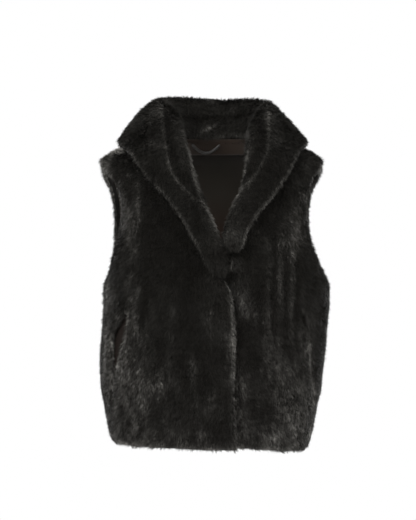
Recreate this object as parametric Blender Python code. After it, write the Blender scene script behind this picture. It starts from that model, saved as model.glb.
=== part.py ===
"""A fur gilet in its worn form with no wearer: hollow, with the neck, armholes and hem open.

Metres, +Z up. The front faces -Y and the wearer's right is at -X. The origin is on the centre line,
level with the middle of the shoulder seams, where the wearer's shoulders carry the gilet.
Tables are in millimetres, and degrees for angles.
"""

import math
from typing import NamedTuple

import bmesh
import bpy
import numpy as np

MM = 0.001

# Cloth
FUR_WALL = 14 * MM
COLLAR_WALL = 12 * MM
LINING_WALL = 1.2 * MM
POCKET_WALL = 2.4 * MM
SEAM_GAP = 0.3 * MM
LINING_GAP = 0.8 * MM
LAID_GAP = 0.9 * MM
COLLAR_GAP = 1.2 * MM

# Levels of the cut
NECK_HEIGHT = 12 * MM
TIP_HEIGHT = -26 * MM
UNDERARM_HEIGHT = -243 * MM
HEM_HEIGHT = -535 * MM
HEM_TURN = 16 * MM
POCKET_TOP = -290 * MM
POCKET_LOW = -447 * MM

# Armholes, as the half depth that is cut away before and behind the side seam
FRONT_SCOOP = 62 * MM
BACK_SCOOP = 58 * MM
ARMHOLE_SQUARE = 2.4
ARMHOLE_FULL = 0.62

# The lap: the right front rides over the left, whose pile is pressed flat below it
LAP_RAISE = 8.2 * MM
LAP_EASE = 45 * MM
LAP_TOP = -130 * MM
LAP_FULL = -168 * MM
PRESSED_SHARE = 0.52
PRESSED_RUN = 16 * MM
PRESSED_PAST = 5 * MM
ROLL_REACH = 13.5 * MM
LAPEL_END = -236 * MM

# Share of the wall's thickness at the points nearest a free edge, from the edge inwards
EDGE_ROUND = (0.45, 0.80, 0.96)
NECK_EDGE_ROUND = 0.25
LIP_ROUND = 0.70
TIP_ROUND = 0.6
COLLAR_SEAM_X = 4 * MM
STAND_LEAN = math.radians(72)
STAND_FOOT = 2 * MM
STAND_SHARE = 0.36

SHARP_ANGLE = math.radians(50)

RIGHT = -1
LEFT = 1


class Ring(NamedTuple):
    """One level section of the form: the inside of the fur, as a superellipse."""

    name: str
    height: float
    half_width: float
    front: float
    back: float
    square: float
    sway: float


RINGS = (
    Ring("hem", -535, 163, 106, 98, 2.30, -4),
    Ring("hem turn", -519, 168, 110, 102, 2.30, -4),
    Ring("low", -490, 174.5, 114, 105, 2.30, -3),
    Ring("hip", -440, 182, 117, 106, 2.30, -3),
    Ring("waist", -380, 189, 118, 104, 2.30, 0),
    Ring("pocket", -310, 189.5, 121, 106, 2.35, 6),
    Ring("underarm", -243, 191, 124, 112, 2.40, 8),
    Ring("chest", -140, 190, 114, 117, 2.35, -1),
    Ring("across", -80, 194, 96, 110, 2.30, -1),
    Ring("upper", -50, 195, 83, 101, 2.25, -1),
    Ring("tip", -26, 191, 70, 89, 2.20, -1),
    Ring("shoulder", -7, 137, 56, 76, 2.15, 2),
    Ring("neck", 12, 70, 38, 60, 2.10, 7),
)


class EdgeRow(NamedTuple):
    """Where a front's neckline and free edge lies at one height."""

    height: float
    x: float


RIGHT_EDGE = (
    EdgeRow(12, -60), EdgeRow(-18, -53), EdgeRow(-40, -47), EdgeRow(-81, -31), EdgeRow(-117, -13),
    EdgeRow(-152, 0), EdgeRow(-199, 8), EdgeRow(-234, 17), EdgeRow(-250, 31), EdgeRow(-335, 41),
    EdgeRow(-384, 38), EdgeRow(-483, 38), EdgeRow(-535, 42),
)
LEFT_EDGE = (
    EdgeRow(12, 74), EdgeRow(-18, 70), EdgeRow(-40, 69), EdgeRow(-86, 60), EdgeRow(-121, 43),
    EdgeRow(-154, 30), EdgeRow(-200, 5), EdgeRow(-245, -20), EdgeRow(-535, -18),
)


class PocketRow(NamedTuple):
    """A pocket mouth at one height: its front lip and how far the mouth gapes round the body."""

    height: float
    lip_x: float
    gape: float


RIGHT_POCKET = (
    PocketRow(-447, -171, 4), PocketRow(-406, -167, 17), PocketRow(-371, -159, 23),
    PocketRow(-335, -149, 26), PocketRow(-290, -143, 4),
)
LEFT_POCKET = (
    PocketRow(-447, 171, 3), PocketRow(-415, 167, 3), PocketRow(-392, 164, 3),
    PocketRow(-340, 159, 3), PocketRow(-290, 155, 3),
)


class Fold(NamedTuple):
    """A soft ridge (height over 0) or trough in the pile side of a wall."""

    piece: str
    top: float
    bottom: float
    x_top: float
    x_bottom: float
    half_width: float
    height: float


FOLDS = (
    Fold("front_right", -255, -530, -44, -34, 15, -4.5),
    Fold("front_right", -270, -500, -88, -96, 20, 2.5),
    Fold("front_right", -330, -470, -128, -142, 12, -3.0),
    Fold("front_right", -70, -250, -132, -136, 16, 2.0),
    Fold("front_left", -160, -365, 99, 96, 10, 3.0),
    Fold("front_left", -160, -360, 124, 120, 10, 3.0),
    Fold("front_left", -170, -350, 150, 146, 9, 2.5),
    Fold("front_left", -295, -400, 66, 64, 14, -4.0),
    Fold("front_left", -390, -525, 84, 80, 12, -3.5),
    Fold("back", -210, -520, -92, -84, 18, -4.0),
    Fold("back", -170, -430, -30, -36, 16, 2.5),
    Fold("back", -260, -530, 38, 30, 17, -3.5),
    Fold("back", -190, -470, 104, 96, 18, 2.5),
)


FOLD_EASE = 0.7


class NeckRow(NamedTuple):
    """A collar section round the neck: its angle from the centre back, stand, roll, crease and edge."""

    angle: float
    lean: float
    stand: float
    roll: float
    crease: float
    edge_x: float
    edge_y: float
    edge_z: float


CENTRE_BACK = NeckRow(0, 58, 77, 25, 0.24, 0, 110, -8)
RIGHT_NECK = (
    CENTRE_BACK,
    NeckRow(38, 72, 79, 26, 0.24, -92, 98, -6),
    NeckRow(66, 97, 84, 28, 0.25, -146, 58, -2),
    NeckRow(90, 113, 88, 28, 0.26, -168, 12, 7),
)
LEFT_NECK = (
    CENTRE_BACK,
    NeckRow(38, 69, 76, 25, 0.24, 92, 98, -6),
    NeckRow(66, 90, 77, 26, 0.25, 148, 58, -2),
    NeckRow(90, 105, 79, 26, 0.26, 171, 12, 7),
)


class LapelRow(NamedTuple):
    """A collar section on a front: its seam height, stand, roll, crease and edge.

    With no edge_y the edge is laid on the front.
    """

    seam: float
    lean: float
    stand: float
    roll: float
    crease: float
    edge_x: float
    edge_z: float
    edge_y: float = None


RIGHT_LAPEL = (
    LapelRow(12, 114, 84, 28, 0.28, -167, 3, -10),
    LapelRow(2, 105, 67, 25, 0.32, -157, -2, -30),
    LapelRow(-25, 82, 42, 21, 0.42, -134, -34),
    LapelRow(-55, 48, 21, 17, 0.50, -109, -68),
    LapelRow(-88, 22, 12, 15, 0.55, -80, -100),
    LapelRow(-120, 6, 8, 14.6, 0.58, -52, -136),
    LapelRow(-152, 0, 7, 14.6, 0.60, -30, -171),
    LapelRow(-195, 0, 7, 14.6, 0.60, -12, -199),
    LapelRow(-222, 0, 7, 14.6, 0.60, -1, -224),
    LapelRow(-232, 0, 7, 14.6, 0.60, 3, -232),
)
LEFT_LAPEL = (
    LapelRow(12, 107, 76, 26, 0.28, 169, 4, -10),
    LapelRow(2, 101, 62, 24, 0.32, 159, -1, -30),
    LapelRow(-25, 80, 41, 21, 0.42, 139, -45),
    LapelRow(-58, 48, 21, 17, 0.50, 113, -86),
    LapelRow(-92, 22, 12, 15, 0.55, 90, -115),
    LapelRow(-124, 6, 8, 14.6, 0.58, 72, -138),
)


class TuckRow(NamedTuple):
    """The end of the left lapel, lying flat beside the right front's roll."""

    inner_x: float
    inner_z: float
    edge_x: float
    edge_z: float


LEFT_TUCK = (TuckRow(18, -152, 61, -160), TuckRow(24, -172, 55, -180), TuckRow(31, -189, 46, -192))
TUCK_SHARES = (0.0, 0.05, 0.12, 0.30, 0.62, 1.0)

# The crease where the collar's roll rises from its stand
CREASE_DEPTH = 3.2 * MM
CREASE_RUN = 0.055
CREASE_END = 0.62
CREASE_FADE = 0.30

# Grids
HEM_SHARES = (0.0, 0.12, 0.42)
SIDE_SHARES = (0.0, 0.12, 0.40, 0.70, 1.0)
FRONT_SHARES = tuple(np.linspace(0.0, 0.93, 13)) + (0.965, 0.988, 1.0)
BACK_SHARES = (0.0, 0.012, 0.035) + tuple(np.linspace(0.075, 0.925, 21)) + (0.965, 0.988, 1.0)
ARMHOLE_STEPS = 12
SHOULDER_STEPS = 4
STATION_STEPS = 2
SECTION_SHARES = tuple(np.linspace(0.0, 0.14, 3)) + tuple(np.linspace(0.20, 0.92, 13)) + (0.965, 0.988, 1.0)

# Lining, facing and loop
LINING_TOP = -6.8 * MM
FACING_LOW = -6.6 * MM
FACING_TOP = 11 * MM
FACING_INSET = 6
LOOP_MIDDLE = -11 * MM
LOOP_SPAN = 50 * MM
LOOP_TOP = 8.5 * MM
LOOP_SAG = 15 * MM
LOOP_WIDTH = 4 * MM
LOOP_THICK = 1.4 * MM
LOOP_SEAT = 1.2 * MM
LOOP_POINTS = 15

# Pocket bags, in columns of their front past the lips of the mouth
BAG_BEHIND = 1
BAG_AHEAD = 7


class LevelCurve:
    """A monotone cubic through a table's column, read at any height."""

    def __init__(self, at, value):
        order = np.argsort(at)
        self.at = np.asarray(at, float)[order]
        self.value = np.asarray(value, float)[order]
        rise = np.diff(self.value) / np.diff(self.at)
        before, after = rise[:-1], rise[1:]
        same_way = before * after > 0
        both = np.where(same_way, before + after, 1.0)
        self.slope = np.concatenate(
            (rise[:1], np.where(same_way, 2 * before * after / both, 0.0), rise[-1:])
        )

    def __call__(self, at):
        at = np.asarray(at, float)
        low = np.clip(np.searchsorted(self.at, at) - 1, 0, len(self.at) - 2)
        step = self.at[low + 1] - self.at[low]
        share = np.clip((at - self.at[low]) / step, 0.0, 1.0)
        past = at - (self.at[low] + share * step)
        square, cube = share**2, share**3
        inside = (
            (2 * cube - 3 * square + 1) * self.value[low]
            + (cube - 2 * square + share) * step * self.slope[low]
            + (3 * square - 2 * cube) * self.value[low + 1]
            + (cube - square) * step * self.slope[low + 1]
        )
        return inside + past * np.where(past < 0, self.slope[0], self.slope[-1])


def column(rows, name):
    """A LevelCurve of one named column, in metres, over the rows' heights."""
    return LevelCurve([row.height * MM for row in rows], [getattr(row, name) * MM for row in rows])


def ease(share):
    """A smooth step from 0 to 1."""
    share = np.clip(share, 0.0, 1.0)
    return share * share * (3 - 2 * share)


def unit(vectors):
    """The vectors at length 1."""
    return vectors / np.linalg.norm(vectors, axis=-1, keepdims=True)


HALF_WIDTH = column(RINGS, "half_width")
FRONT_DEPTH = column(RINGS, "front")
BACK_DEPTH = column(RINGS, "back")
SWAY = column(RINGS, "sway")
SQUARE = LevelCurve([ring.height * MM for ring in RINGS], [ring.square for ring in RINGS])
EDGE_X = {RIGHT: column(RIGHT_EDGE, "x"), LEFT: column(LEFT_EDGE, "x")}


def form_point(turn, height):
    """The form's point: turn 0 is the wearer's left side, a quarter is the front."""
    turn, height = np.broadcast_arrays(turn, height)
    power = 2 / SQUARE(height)
    across, along = np.cos(turn), np.sin(turn)
    depth = np.where(along > 0, FRONT_DEPTH(height), BACK_DEPTH(height))
    x = SWAY(height) + HALF_WIDTH(height) * np.sign(across) * np.abs(across) ** power
    y = -depth * np.sign(along) * np.abs(along) ** power
    return np.stack((x, y, height), axis=-1)


def form_reach(points):
    """1 on the form, more outside it."""
    x, y, z = points[..., 0], points[..., 1], points[..., 2]
    power = SQUARE(z)
    depth = np.where(y < 0, FRONT_DEPTH(z), BACK_DEPTH(z))
    return (np.abs((x - SWAY(z)) / HALF_WIDTH(z)) ** power + np.abs(y / depth) ** power) ** (1 / power)


def form_slope(points):
    """The gradient of form_reach."""
    step = 0.05 * MM
    parts = [form_reach(points + step * axis) - form_reach(points - step * axis) for axis in np.eye(3)]
    return np.stack(parts, axis=-1) / (2 * step)


def form_outward(points):
    """The form's outward normals."""
    return unit(form_slope(points))


def form_height(points):
    """How far points lie outside the form."""
    return (form_reach(points) - 1) / np.linalg.norm(form_slope(points), axis=-1)


def front_turn(x, height):
    """The turn of a point on the form's front from its place across."""
    share = np.clip((x - SWAY(height)) / HALF_WIDTH(height), -1.0, 1.0)
    return np.arccos(np.sign(share) * np.abs(share) ** (SQUARE(height) / 2))


def side_turn(depth, height, reach):
    """The turn from the side line to a point at that depth before or behind it."""
    return np.arcsin(np.clip((depth / reach(height)) ** (SQUARE(height) / 2), 0.0, 1.0))


def armhole_depth(height, scoop):
    """Half the armhole's depth at a height, and half a seam's gap above and below it."""
    share = np.clip((height - UNDERARM_HEIGHT) / (TIP_HEIGHT - UNDERARM_HEIGHT), 0.0, 1.0)
    return np.maximum(scoop * (1 - np.abs(2 * share - 1) ** ARMHOLE_SQUARE) ** ARMHOLE_FULL, SEAM_GAP / 2)


def armhole_rounding(heights, scoop):
    """Each row's weight of rounding along the armhole's edge, with none at a seam."""
    depth = armhole_depth(heights, scoop)
    weights = np.where(depth <= SEAM_GAP, 0.0, np.clip(depth / FUR_WALL, 0.0, 1.0))
    return np.where(np.abs(heights - TIP_HEIGHT) < SEAM_GAP, TIP_ROUND, weights)


def fold_height(piece, x, height):
    """The sum of a piece's folds at places across and heights."""
    total = np.zeros(np.broadcast(x, height).shape)
    for fold in FOLDS:
        if fold.piece == piece:
            share = np.clip((height / MM - fold.bottom) / (fold.top - fold.bottom), 0.0, 1.0)
            middle = (fold.x_bottom + share * (fold.x_top - fold.x_bottom)) * MM
            across = np.exp(-(((x - middle) / (fold.half_width * MM)) ** 2))
            total = total + fold.height * MM * across * np.sin(math.pi * share) ** FOLD_EASE
    return total


def lap_raise(x, height):
    """How far the right front lifts to ride over the left front's edge."""
    down = ease((LAP_TOP - height) / (LAP_TOP - LAP_FULL))
    return LAP_RAISE * down * ease((x - EDGE_X[LEFT](height)) / LAP_EASE + 1)


def pressed_share(x, height):
    """The share of its wall that the left front keeps below the lap."""
    cover = EDGE_X[RIGHT](height) + np.where(height > LAPEL_END, ROLL_REACH, 0.0)
    under = ease((cover + PRESSED_PAST + PRESSED_RUN - x) / PRESSED_RUN)
    return 1 - PRESSED_SHARE * under * ease((LAP_TOP - height) / (LAP_TOP - LAP_FULL))


def panel_heights():
    """The heights of a panel's rows, from the hem up, closer where the cut turns."""
    armhole = (1 - np.cos(np.linspace(0, math.pi, ARMHOLE_STEPS + 1))) / 2
    return np.concatenate(
        (
            HEM_HEIGHT + HEM_TURN * np.array(HEM_SHARES),
            np.linspace(HEM_HEIGHT + HEM_TURN, POCKET_LOW, 3),
            np.linspace(POCKET_LOW, POCKET_TOP, 7)[1:],
            np.linspace(POCKET_TOP, UNDERARM_HEIGHT, 3)[1:],
            (UNDERARM_HEIGHT + armhole * (TIP_HEIGHT - UNDERARM_HEIGHT))[1:],
            np.linspace(TIP_HEIGHT, NECK_HEIGHT, SHOULDER_STEPS + 1)[1:],
        )
    )


def rounding(weights, count, from_end=False):
    """Column shares of the wall beside an edge that is rounded by each row's weight."""
    shares = np.ones((len(weights), count))
    for index, share in enumerate(EDGE_ROUND):
        place = count - 1 - index if from_end else index
        shares[:, place] = 1 - weights * (1 - share)
    return shares


def hem_rounding(count):
    """Row shares of the wall at the hem."""
    shares = np.ones(count)
    shares[: len(EDGE_ROUND)] = EDGE_ROUND
    return shares[:, None]


def pocket_rows(heights):
    """Which rows of a front lie along its pocket mouth."""
    return (heights > POCKET_LOW - SEAM_GAP) & (heights < POCKET_TOP + SEAM_GAP)


def pocket_shares(pocket, side_at, edge_at):
    """Curves of the shares across a front at which its pocket mouth's back and front lips lie."""
    heights = np.array([row.height * MM for row in pocket])
    lip = front_turn(np.array([row.lip_x * MM for row in pocket]), heights)
    start, end = side_at(heights), edge_at(heights)
    step = 1e-4
    round_body = np.linalg.norm(form_point(lip + step, heights) - form_point(lip, heights), axis=-1) / step
    gape = np.array([row.gape * MM for row in pocket]) / round_body / np.abs(end - start)
    front = (lip - start) / (end - start)
    return LevelCurve(heights, front - gape), LevelCurve(heights, front)


def front_grid(side, pocket):
    """A front's row heights, its points on the form, from side to free edge, and how far it is raised."""
    heights = panel_heights()

    def side_at(height):
        turn = side_turn(armhole_depth(height, FRONT_SCOOP), height, FRONT_DEPTH)
        return turn if side == LEFT else math.pi - turn

    def edge_at(height):
        return front_turn(EDGE_X[side](height), height)

    back_lip, front_lip = pocket_shares(pocket, side_at, edge_at)
    reached = np.clip(heights, POCKET_LOW, POCKET_TOP)
    behind, ahead = back_lip(reached)[:, None], front_lip(reached)[:, None]
    shares = np.concatenate(
        (behind * np.array(SIDE_SHARES), ahead + (1 - ahead) * np.array(FRONT_SHARES)), axis=1
    )
    start, end = side_at(heights)[:, None], edge_at(heights)[:, None]
    inner = form_point(start + shares * (end - start), heights[:, None])
    base = lap_raise(inner[..., 0], inner[..., 2]) if side == RIGHT else np.zeros(inner.shape[:2])
    return heights, inner, base


def front_panel(name, side, pocket, material):
    """A front in fur, from its side seam to its free edge, with a pocket mouth cut through."""
    heights, inner, base = front_grid(side, pocket)
    outward = form_outward(inner)
    across, levels = inner[..., 0], inner[..., 2]
    count = inner.shape[1]
    open_side = armhole_rounding(heights, FRONT_SCOOP)
    free_edge = np.where(heights < LAPEL_END, 1.0, NECK_EDGE_ROUND)
    wall = FUR_WALL * rounding(open_side, count) * rounding(free_edge, count, True)
    wall = wall * hem_rounding(len(heights)) + fold_height(name, across, levels)
    in_pocket = pocket_rows(heights)
    slit = len(SIDE_SHARES) - 1
    wall[in_pocket, slit] *= LIP_ROUND
    wall[in_pocket, slit + 1] *= LIP_ROUND
    if side == LEFT:
        wall = wall * pressed_share(across, levels)

    kept = np.ones((len(heights) - 1, count - 1), bool)
    kept[in_pocket[:-1] & in_pocket[1:], slit] = False
    outer = inner + outward * (base + wall)[..., None]
    return wall_object(name, outer, inner + outward * base[..., None], material, kept)


def back_turns(heights, shares):
    """The turns of the back's columns, from the right side seam round to the left."""
    turn = side_turn(armhole_depth(heights, BACK_SCOOP), heights, BACK_DEPTH)[:, None]
    return math.pi + turn + np.asarray(shares) * (math.pi - 2 * turn)


def back_panel(name, material):
    """The back in fur, from side seam to side seam and up to the back neck."""
    heights = panel_heights()
    inner = form_point(back_turns(heights, BACK_SHARES), heights[:, None])
    open_side = armhole_rounding(heights, BACK_SCOOP)
    count = len(BACK_SHARES)
    wall = FUR_WALL * rounding(open_side, count) * rounding(open_side, count, True)
    wall = wall * hem_rounding(len(heights))
    levels = np.broadcast_to(heights[:, None], wall.shape)
    wall = wall + fold_height(name, inner[..., 0], levels)
    return wall_object(name, inner + form_outward(inner) * wall[..., None], inner, material)


def lining_back(name, material):
    """The back's lining: the back's own points, every second column, moved in."""
    heights = panel_heights()
    heights = heights[(heights > HEM_HEIGHT + HEM_TURN / 4) & (heights < LINING_TOP)]
    return inside_wall(name, form_point(back_turns(heights, BACK_SHARES[2:-2:2]), heights[:, None]), material)


def neck_facing(name, material):
    """The band inside the back neck, above the lining: the back's own columns, moved in."""
    heights = np.array((FACING_LOW, (FACING_LOW + FACING_TOP) / 2, FACING_TOP))
    columns = BACK_SHARES[FACING_INSET:-FACING_INSET]
    return inside_wall(name, form_point(back_turns(heights, columns), heights[:, None]), material)


def inside_wall(name, inner, material):
    """A wall of lining cloth just inside points of the form."""
    outward = form_outward(inner)
    near = inner - outward * LINING_GAP
    return wall_object(name, near, near - outward * LINING_WALL, material)


def pocket_bag(name, side, pocket, material):
    """A pocket bag, empty and flat, behind its mouth: the front's own points, moved in."""
    heights, inner, base = front_grid(side, pocket)
    mouth = np.flatnonzero(pocket_rows(heights))
    rows = slice(mouth[0] - 1, mouth[-1] + 2)
    slit = len(SIDE_SHARES) - 1
    columns = slice(slit - BAG_BEHIND, slit + 1 + BAG_AHEAD)
    inner, base = inner[rows, columns], base[rows, columns]
    outward = form_outward(inner)
    near = inner + outward * (base - SEAM_GAP)[..., None]
    return wall_object(name, near, near - outward * POCKET_WALL, material)


def front_outside(side, x, height):
    """How far the pile of a front stands off the form."""
    if side == RIGHT:
        return lap_raise(x, height) + FUR_WALL + fold_height("front_right", x, height)
    return (FUR_WALL + fold_height("front_left", x, height)) * pressed_share(x, height)


def laid_point(side, x, height, lift):
    """A point that lies on a front, lifted off its pile."""
    point = form_point(front_turn(x, height), height)
    return point + form_outward(point) * (front_outside(side, x, height) + lift)


def collar_seam(side, neck, lapel):
    """The neck seam's points on the form, from the centre back to the lapel's end."""
    turns = [1.5 * math.pi + side * math.radians(row.angle) for row in neck]
    points = [form_point(turn, NECK_HEIGHT) for turn in turns]
    for row in lapel:
        height = row.seam * MM
        points.append(form_point(front_turn(EDGE_X[side](height), height), height))
    return np.array(points)


def collar_controls(side, neck, lapel, tuck):
    """Six control points for each collar section: seam, stand, two at the roll, fall and edge."""
    seam = collar_seam(side, neck, lapel)
    along = unit(np.gradient(seam, axis=0))
    along[0] = (side, 0.0, 0.0)
    outward = form_outward(seam)
    away = unit(np.cross(along, outward) * side)
    rows = []
    for index, row in enumerate(neck + lapel):
        lean = math.radians(row.lean)
        rising = min(lean, STAND_LEAN)
        laid_on = lap_raise(seam[index, 0], seam[index, 2]) if side == RIGHT else 0.0
        up = math.cos(lean) * away[index] + math.sin(lean) * outward[index]
        out = math.cos(lean) * outward[index] - math.sin(lean) * away[index]
        rise = FUR_WALL / 2 - (FUR_WALL / 2 - STAND_FOOT) * math.sin(rising) + laid_on
        beside = COLLAR_GAP + COLLAR_WALL / 2 * math.sin(rising)
        start = seam[index] + away[index] * beside + outward[index] * rise
        straight = math.cos(rising) * away[index] + math.sin(rising) * outward[index]
        foot = start + straight * row.stand * MM * STAND_SHARE
        top = foot + up * row.stand * MM * (1 - STAND_SHARE)
        over = top + out * row.roll * MM
        if row.edge_y is None:
            edge = laid_point(side, row.edge_x * MM, row.edge_z * MM, LAID_GAP + COLLAR_WALL / 2)
        else:
            edge = np.array((row.edge_x, row.edge_y, row.edge_z)) * MM
        fall = (over + edge) / 2
        rows.append((start, foot, top, over, fall, edge))
    for row in tuck:
        ends = np.array(((row.inner_x, row.inner_z), (row.edge_x, row.edge_z))) * MM
        places = ends[0] + np.array(TUCK_SHARES)[:, None] * (ends[1] - ends[0])
        rows.append([laid_point(side, x, z, 2 * LAID_GAP + COLLAR_WALL / 2) for x, z in places])
    rows = np.array(rows)
    rows[0, :, 0] = COLLAR_SEAM_X + side * SEAM_GAP / 2
    return rows


def through_rows(rows, steps):
    """A Catmull-Rom curve through rows of points, with steps to each span."""
    padded = np.concatenate((2 * rows[:1] - rows[1:2], rows, 2 * rows[-1:] - rows[-2:-1]))
    found = []
    for index in range(len(rows) - 1):
        a, b, c, d = padded[index : index + 4]
        for share in np.arange(steps) / steps:
            found.append(
                b
                + share * (c - a) / 2
                + share**2 * (a - 2.5 * b + 2 * c - d / 2)
                + share**3 * (1.5 * (b - c) + (d - a) / 2)
            )
    found.append(rows[-1])
    return np.array(found)


def section_curve(controls, shares):
    """A quadratic B-spline over each row's six control points, clamped at its ends."""
    spans = controls.shape[1] - 2
    found = []
    for share in shares:
        span = min(int(share * spans), spans - 1)
        t = share * spans - span
        first, second, third = controls[:, span], controls[:, span + 1], controls[:, span + 2]
        start = first if span == 0 else (first + second) / 2
        end = third if span == spans - 1 else (second + third) / 2
        found.append((1 - t) ** 2 * start + 2 * t * (1 - t) * second + t**2 * end)
    return np.stack(found, axis=1)


def collar_half(name, side, neck, lapel, tuck, material):
    """Half of the shawl collar: stand, roll and fall, from the centre-back seam to the lapel's end."""
    controls = collar_controls(side, neck, lapel, tuck)
    middle = section_curve(through_rows(controls, STATION_STEPS), SECTION_SHARES)
    shown = unit(np.cross(np.gradient(middle, axis=0), np.gradient(middle, axis=1)) * side)
    shown[0, :, 0] = 0.0
    shown = unit(shown)
    stations, count = middle.shape[:2]
    wall = COLLAR_WALL * rounding(np.ones(stations), count, True)
    wall = wall * rounding(np.ones(1), stations, True)[0][:, None]
    if tuck:
        inner_free = ease((np.arange(stations) - stations + 1 + 2 * STATION_STEPS * len(tuck)) / STATION_STEPS)
        wall = wall * rounding(inner_free, count)
    under = middle - shown * wall[..., None] / 2
    creases = np.array([row.crease for row in neck + lapel + lapel[-1:] * len(tuck)])
    from_crease = np.array(SECTION_SHARES) - through_rows(creases, STATION_STEPS)[:, None]
    fade = ease((CREASE_END - np.linspace(0, 1, stations)) / CREASE_FADE)[:, None]
    trough = CREASE_DEPTH * fade * np.exp(-((from_crease / CREASE_RUN) ** 2))
    over = middle + shown * (wall / 2 - trough)[..., None]
    lift = collar_lift(side, under)
    return wall_object(name, over + lift, under + lift, material)


def collar_lift(side, under):
    """How far to move a collar's points outwards, so that its underside clears the pile below it."""
    below_neck = under[..., 2] < NECK_HEIGHT - SEAM_GAP
    falls = np.arange(under.shape[1]) >= len(SECTION_SHARES) // 2
    outside = front_outside(side, under[..., 0], under[..., 2])
    outside = np.where(under[..., 1] < 0, outside, FUR_WALL)
    short = np.clip(outside + LAID_GAP / 2 - form_height(under), 0.0, None)
    return form_outward(under) * np.where(below_neck & falls, short, 0.0)[..., None]


def hanger_loop(name, material):
    """A strip that hangs straight down from the back neck seam, its ends seated on the facing."""
    share = np.linspace(0, 1, LOOP_POINTS)
    sag = 1 - (2 * share - 1) ** 2
    x = LOOP_MIDDLE + LOOP_SPAN * (share - 0.5)
    z = LOOP_TOP - LOOP_SAG * sag
    level = LOOP_TOP + LOOP_WIDTH / 2
    across = np.abs((x - SWAY(level)) / HALF_WIDTH(level)) ** SQUARE(level)
    wall_y = BACK_DEPTH(level) * (1 - across) ** (1 / SQUARE(level))
    middle = np.stack((x, wall_y - LOOP_SEAT - LINING_WALL - LOOP_THICK / 2, z), axis=-1)
    along = unit(np.gradient(middle, axis=0))
    thick = np.broadcast_to(np.array((0.0, 1.0, 0.0)), along.shape)
    broad = unit(np.cross(thick, along))
    thick = unit(np.cross(along, broad))
    edges = np.stack((middle - broad * LOOP_WIDTH / 2, middle + broad * LOOP_WIDTH / 2), axis=1)
    shift = thick[:, None] * LOOP_THICK / 2
    return wall_object(name, edges - shift, edges + shift, material)


def wall_object(name, outer, inner, material, kept=None):
    """A closed wall between two grids of points, without the cells that aren't kept."""
    rows, count = outer.shape[:2]
    if kept is None:
        kept = np.ones((rows - 1, count - 1), bool)
    cells = np.pad(kept, 1)
    body = bmesh.new()
    out = [[body.verts.new(point) for point in line] for line in outer]
    within = [[body.verts.new(point) for point in line] for line in inner]
    for row, place in np.argwhere(kept):
        corners = ((row, place), (row, place + 1), (row + 1, place + 1), (row + 1, place))
        body.faces.new([out[r][c] for r, c in corners])
        body.faces.new([within[r][c] for r, c in reversed(corners)])
        beyond = ((row - 1, place), (row, place + 1), (row + 1, place), (row, place - 1))
        for edge, (r, c) in enumerate(beyond):
            if not cells[r + 1, c + 1]:
                a, b = corners[edge], corners[(edge + 1) % 4]
                body.faces.new((out[b[0]][b[1]], out[a[0]][a[1]], within[a[0]][a[1]], within[b[0]][b[1]]))
    bmesh.ops.delete(body, geom=[vert for vert in body.verts if not vert.link_faces], context="VERTS")
    bmesh.ops.recalc_face_normals(body, faces=body.faces)
    mesh = bpy.data.meshes.new(name)
    body.to_mesh(mesh)
    body.free()
    mesh.shade_smooth()
    mesh.set_sharp_from_angle(angle=SHARP_ANGLE)
    mesh.materials.append(material)
    made = bpy.data.objects.new(name, mesh)
    bpy.context.scene.collection.objects.link(made)
    return made


def cloth(name, colour, roughness):
    """A cloth's material."""
    material = bpy.data.materials.new(name)
    material.use_nodes = True
    shader = material.node_tree.nodes["Principled BSDF"]
    shader.inputs["Base Color"].default_value = (*colour, 1.0)
    shader.inputs["Roughness"].default_value = roughness
    shader.inputs["Metallic"].default_value = 0.0
    return material


def clear_scene():
    """Take every object out of the scene."""
    for item in list(bpy.data.objects):
        bpy.data.objects.remove(item, do_unlink=True)


def build():
    """Make every piece of the gilet."""
    clear_scene()
    fur = cloth("black fur", (0.012, 0.011, 0.010), 0.75)
    satin = cloth("dark satin lining", (0.022, 0.017, 0.014), 0.35)
    facing = cloth("brown satin facing", (0.040, 0.028, 0.021), 0.40)
    back_panel("back", fur)
    front_panel("front_right", RIGHT, RIGHT_POCKET, fur)
    front_panel("front_left", LEFT, LEFT_POCKET, fur)
    collar_half("collar_right", RIGHT, RIGHT_NECK, RIGHT_LAPEL, (), fur)
    collar_half("collar_left", LEFT, LEFT_NECK, LEFT_LAPEL, LEFT_TUCK, fur)
    lining_back("lining_back", satin)
    neck_facing("neck_facing", facing)
    hanger_loop("hanger_loop", satin)
    pocket_bag("pocket_right", RIGHT, RIGHT_POCKET, satin)
    pocket_bag("pocket_left", LEFT, LEFT_POCKET, satin)


build()
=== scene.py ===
"""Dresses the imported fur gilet: backed fur panels with their pile, satin lining, facing, loop and pockets.

Metres in the row frame: +Z up, the front faces -Y, the wearer's right is at -X.
"""

import logging
import math
from dataclasses import dataclass
from enum import Enum, IntEnum

import bmesh
import bpy
import numpy as np
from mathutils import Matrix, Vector
from mathutils.bvhtree import BVHTree
from mathutils.kdtree import KDTree


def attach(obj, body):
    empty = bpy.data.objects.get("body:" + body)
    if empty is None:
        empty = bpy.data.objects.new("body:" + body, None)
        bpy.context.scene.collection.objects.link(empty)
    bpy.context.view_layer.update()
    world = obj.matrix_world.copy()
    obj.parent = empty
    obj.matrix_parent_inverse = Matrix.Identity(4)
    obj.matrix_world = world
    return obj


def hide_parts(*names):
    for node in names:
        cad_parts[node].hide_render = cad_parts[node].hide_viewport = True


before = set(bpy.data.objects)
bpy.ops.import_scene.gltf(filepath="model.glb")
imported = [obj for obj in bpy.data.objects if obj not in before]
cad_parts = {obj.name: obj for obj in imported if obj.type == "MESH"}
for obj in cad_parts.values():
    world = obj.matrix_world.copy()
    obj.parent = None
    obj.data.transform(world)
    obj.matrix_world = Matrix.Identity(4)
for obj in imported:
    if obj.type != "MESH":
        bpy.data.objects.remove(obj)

MM = 0.001
BODY = "root"
LOG = logging.getLogger("gilet")

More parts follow.
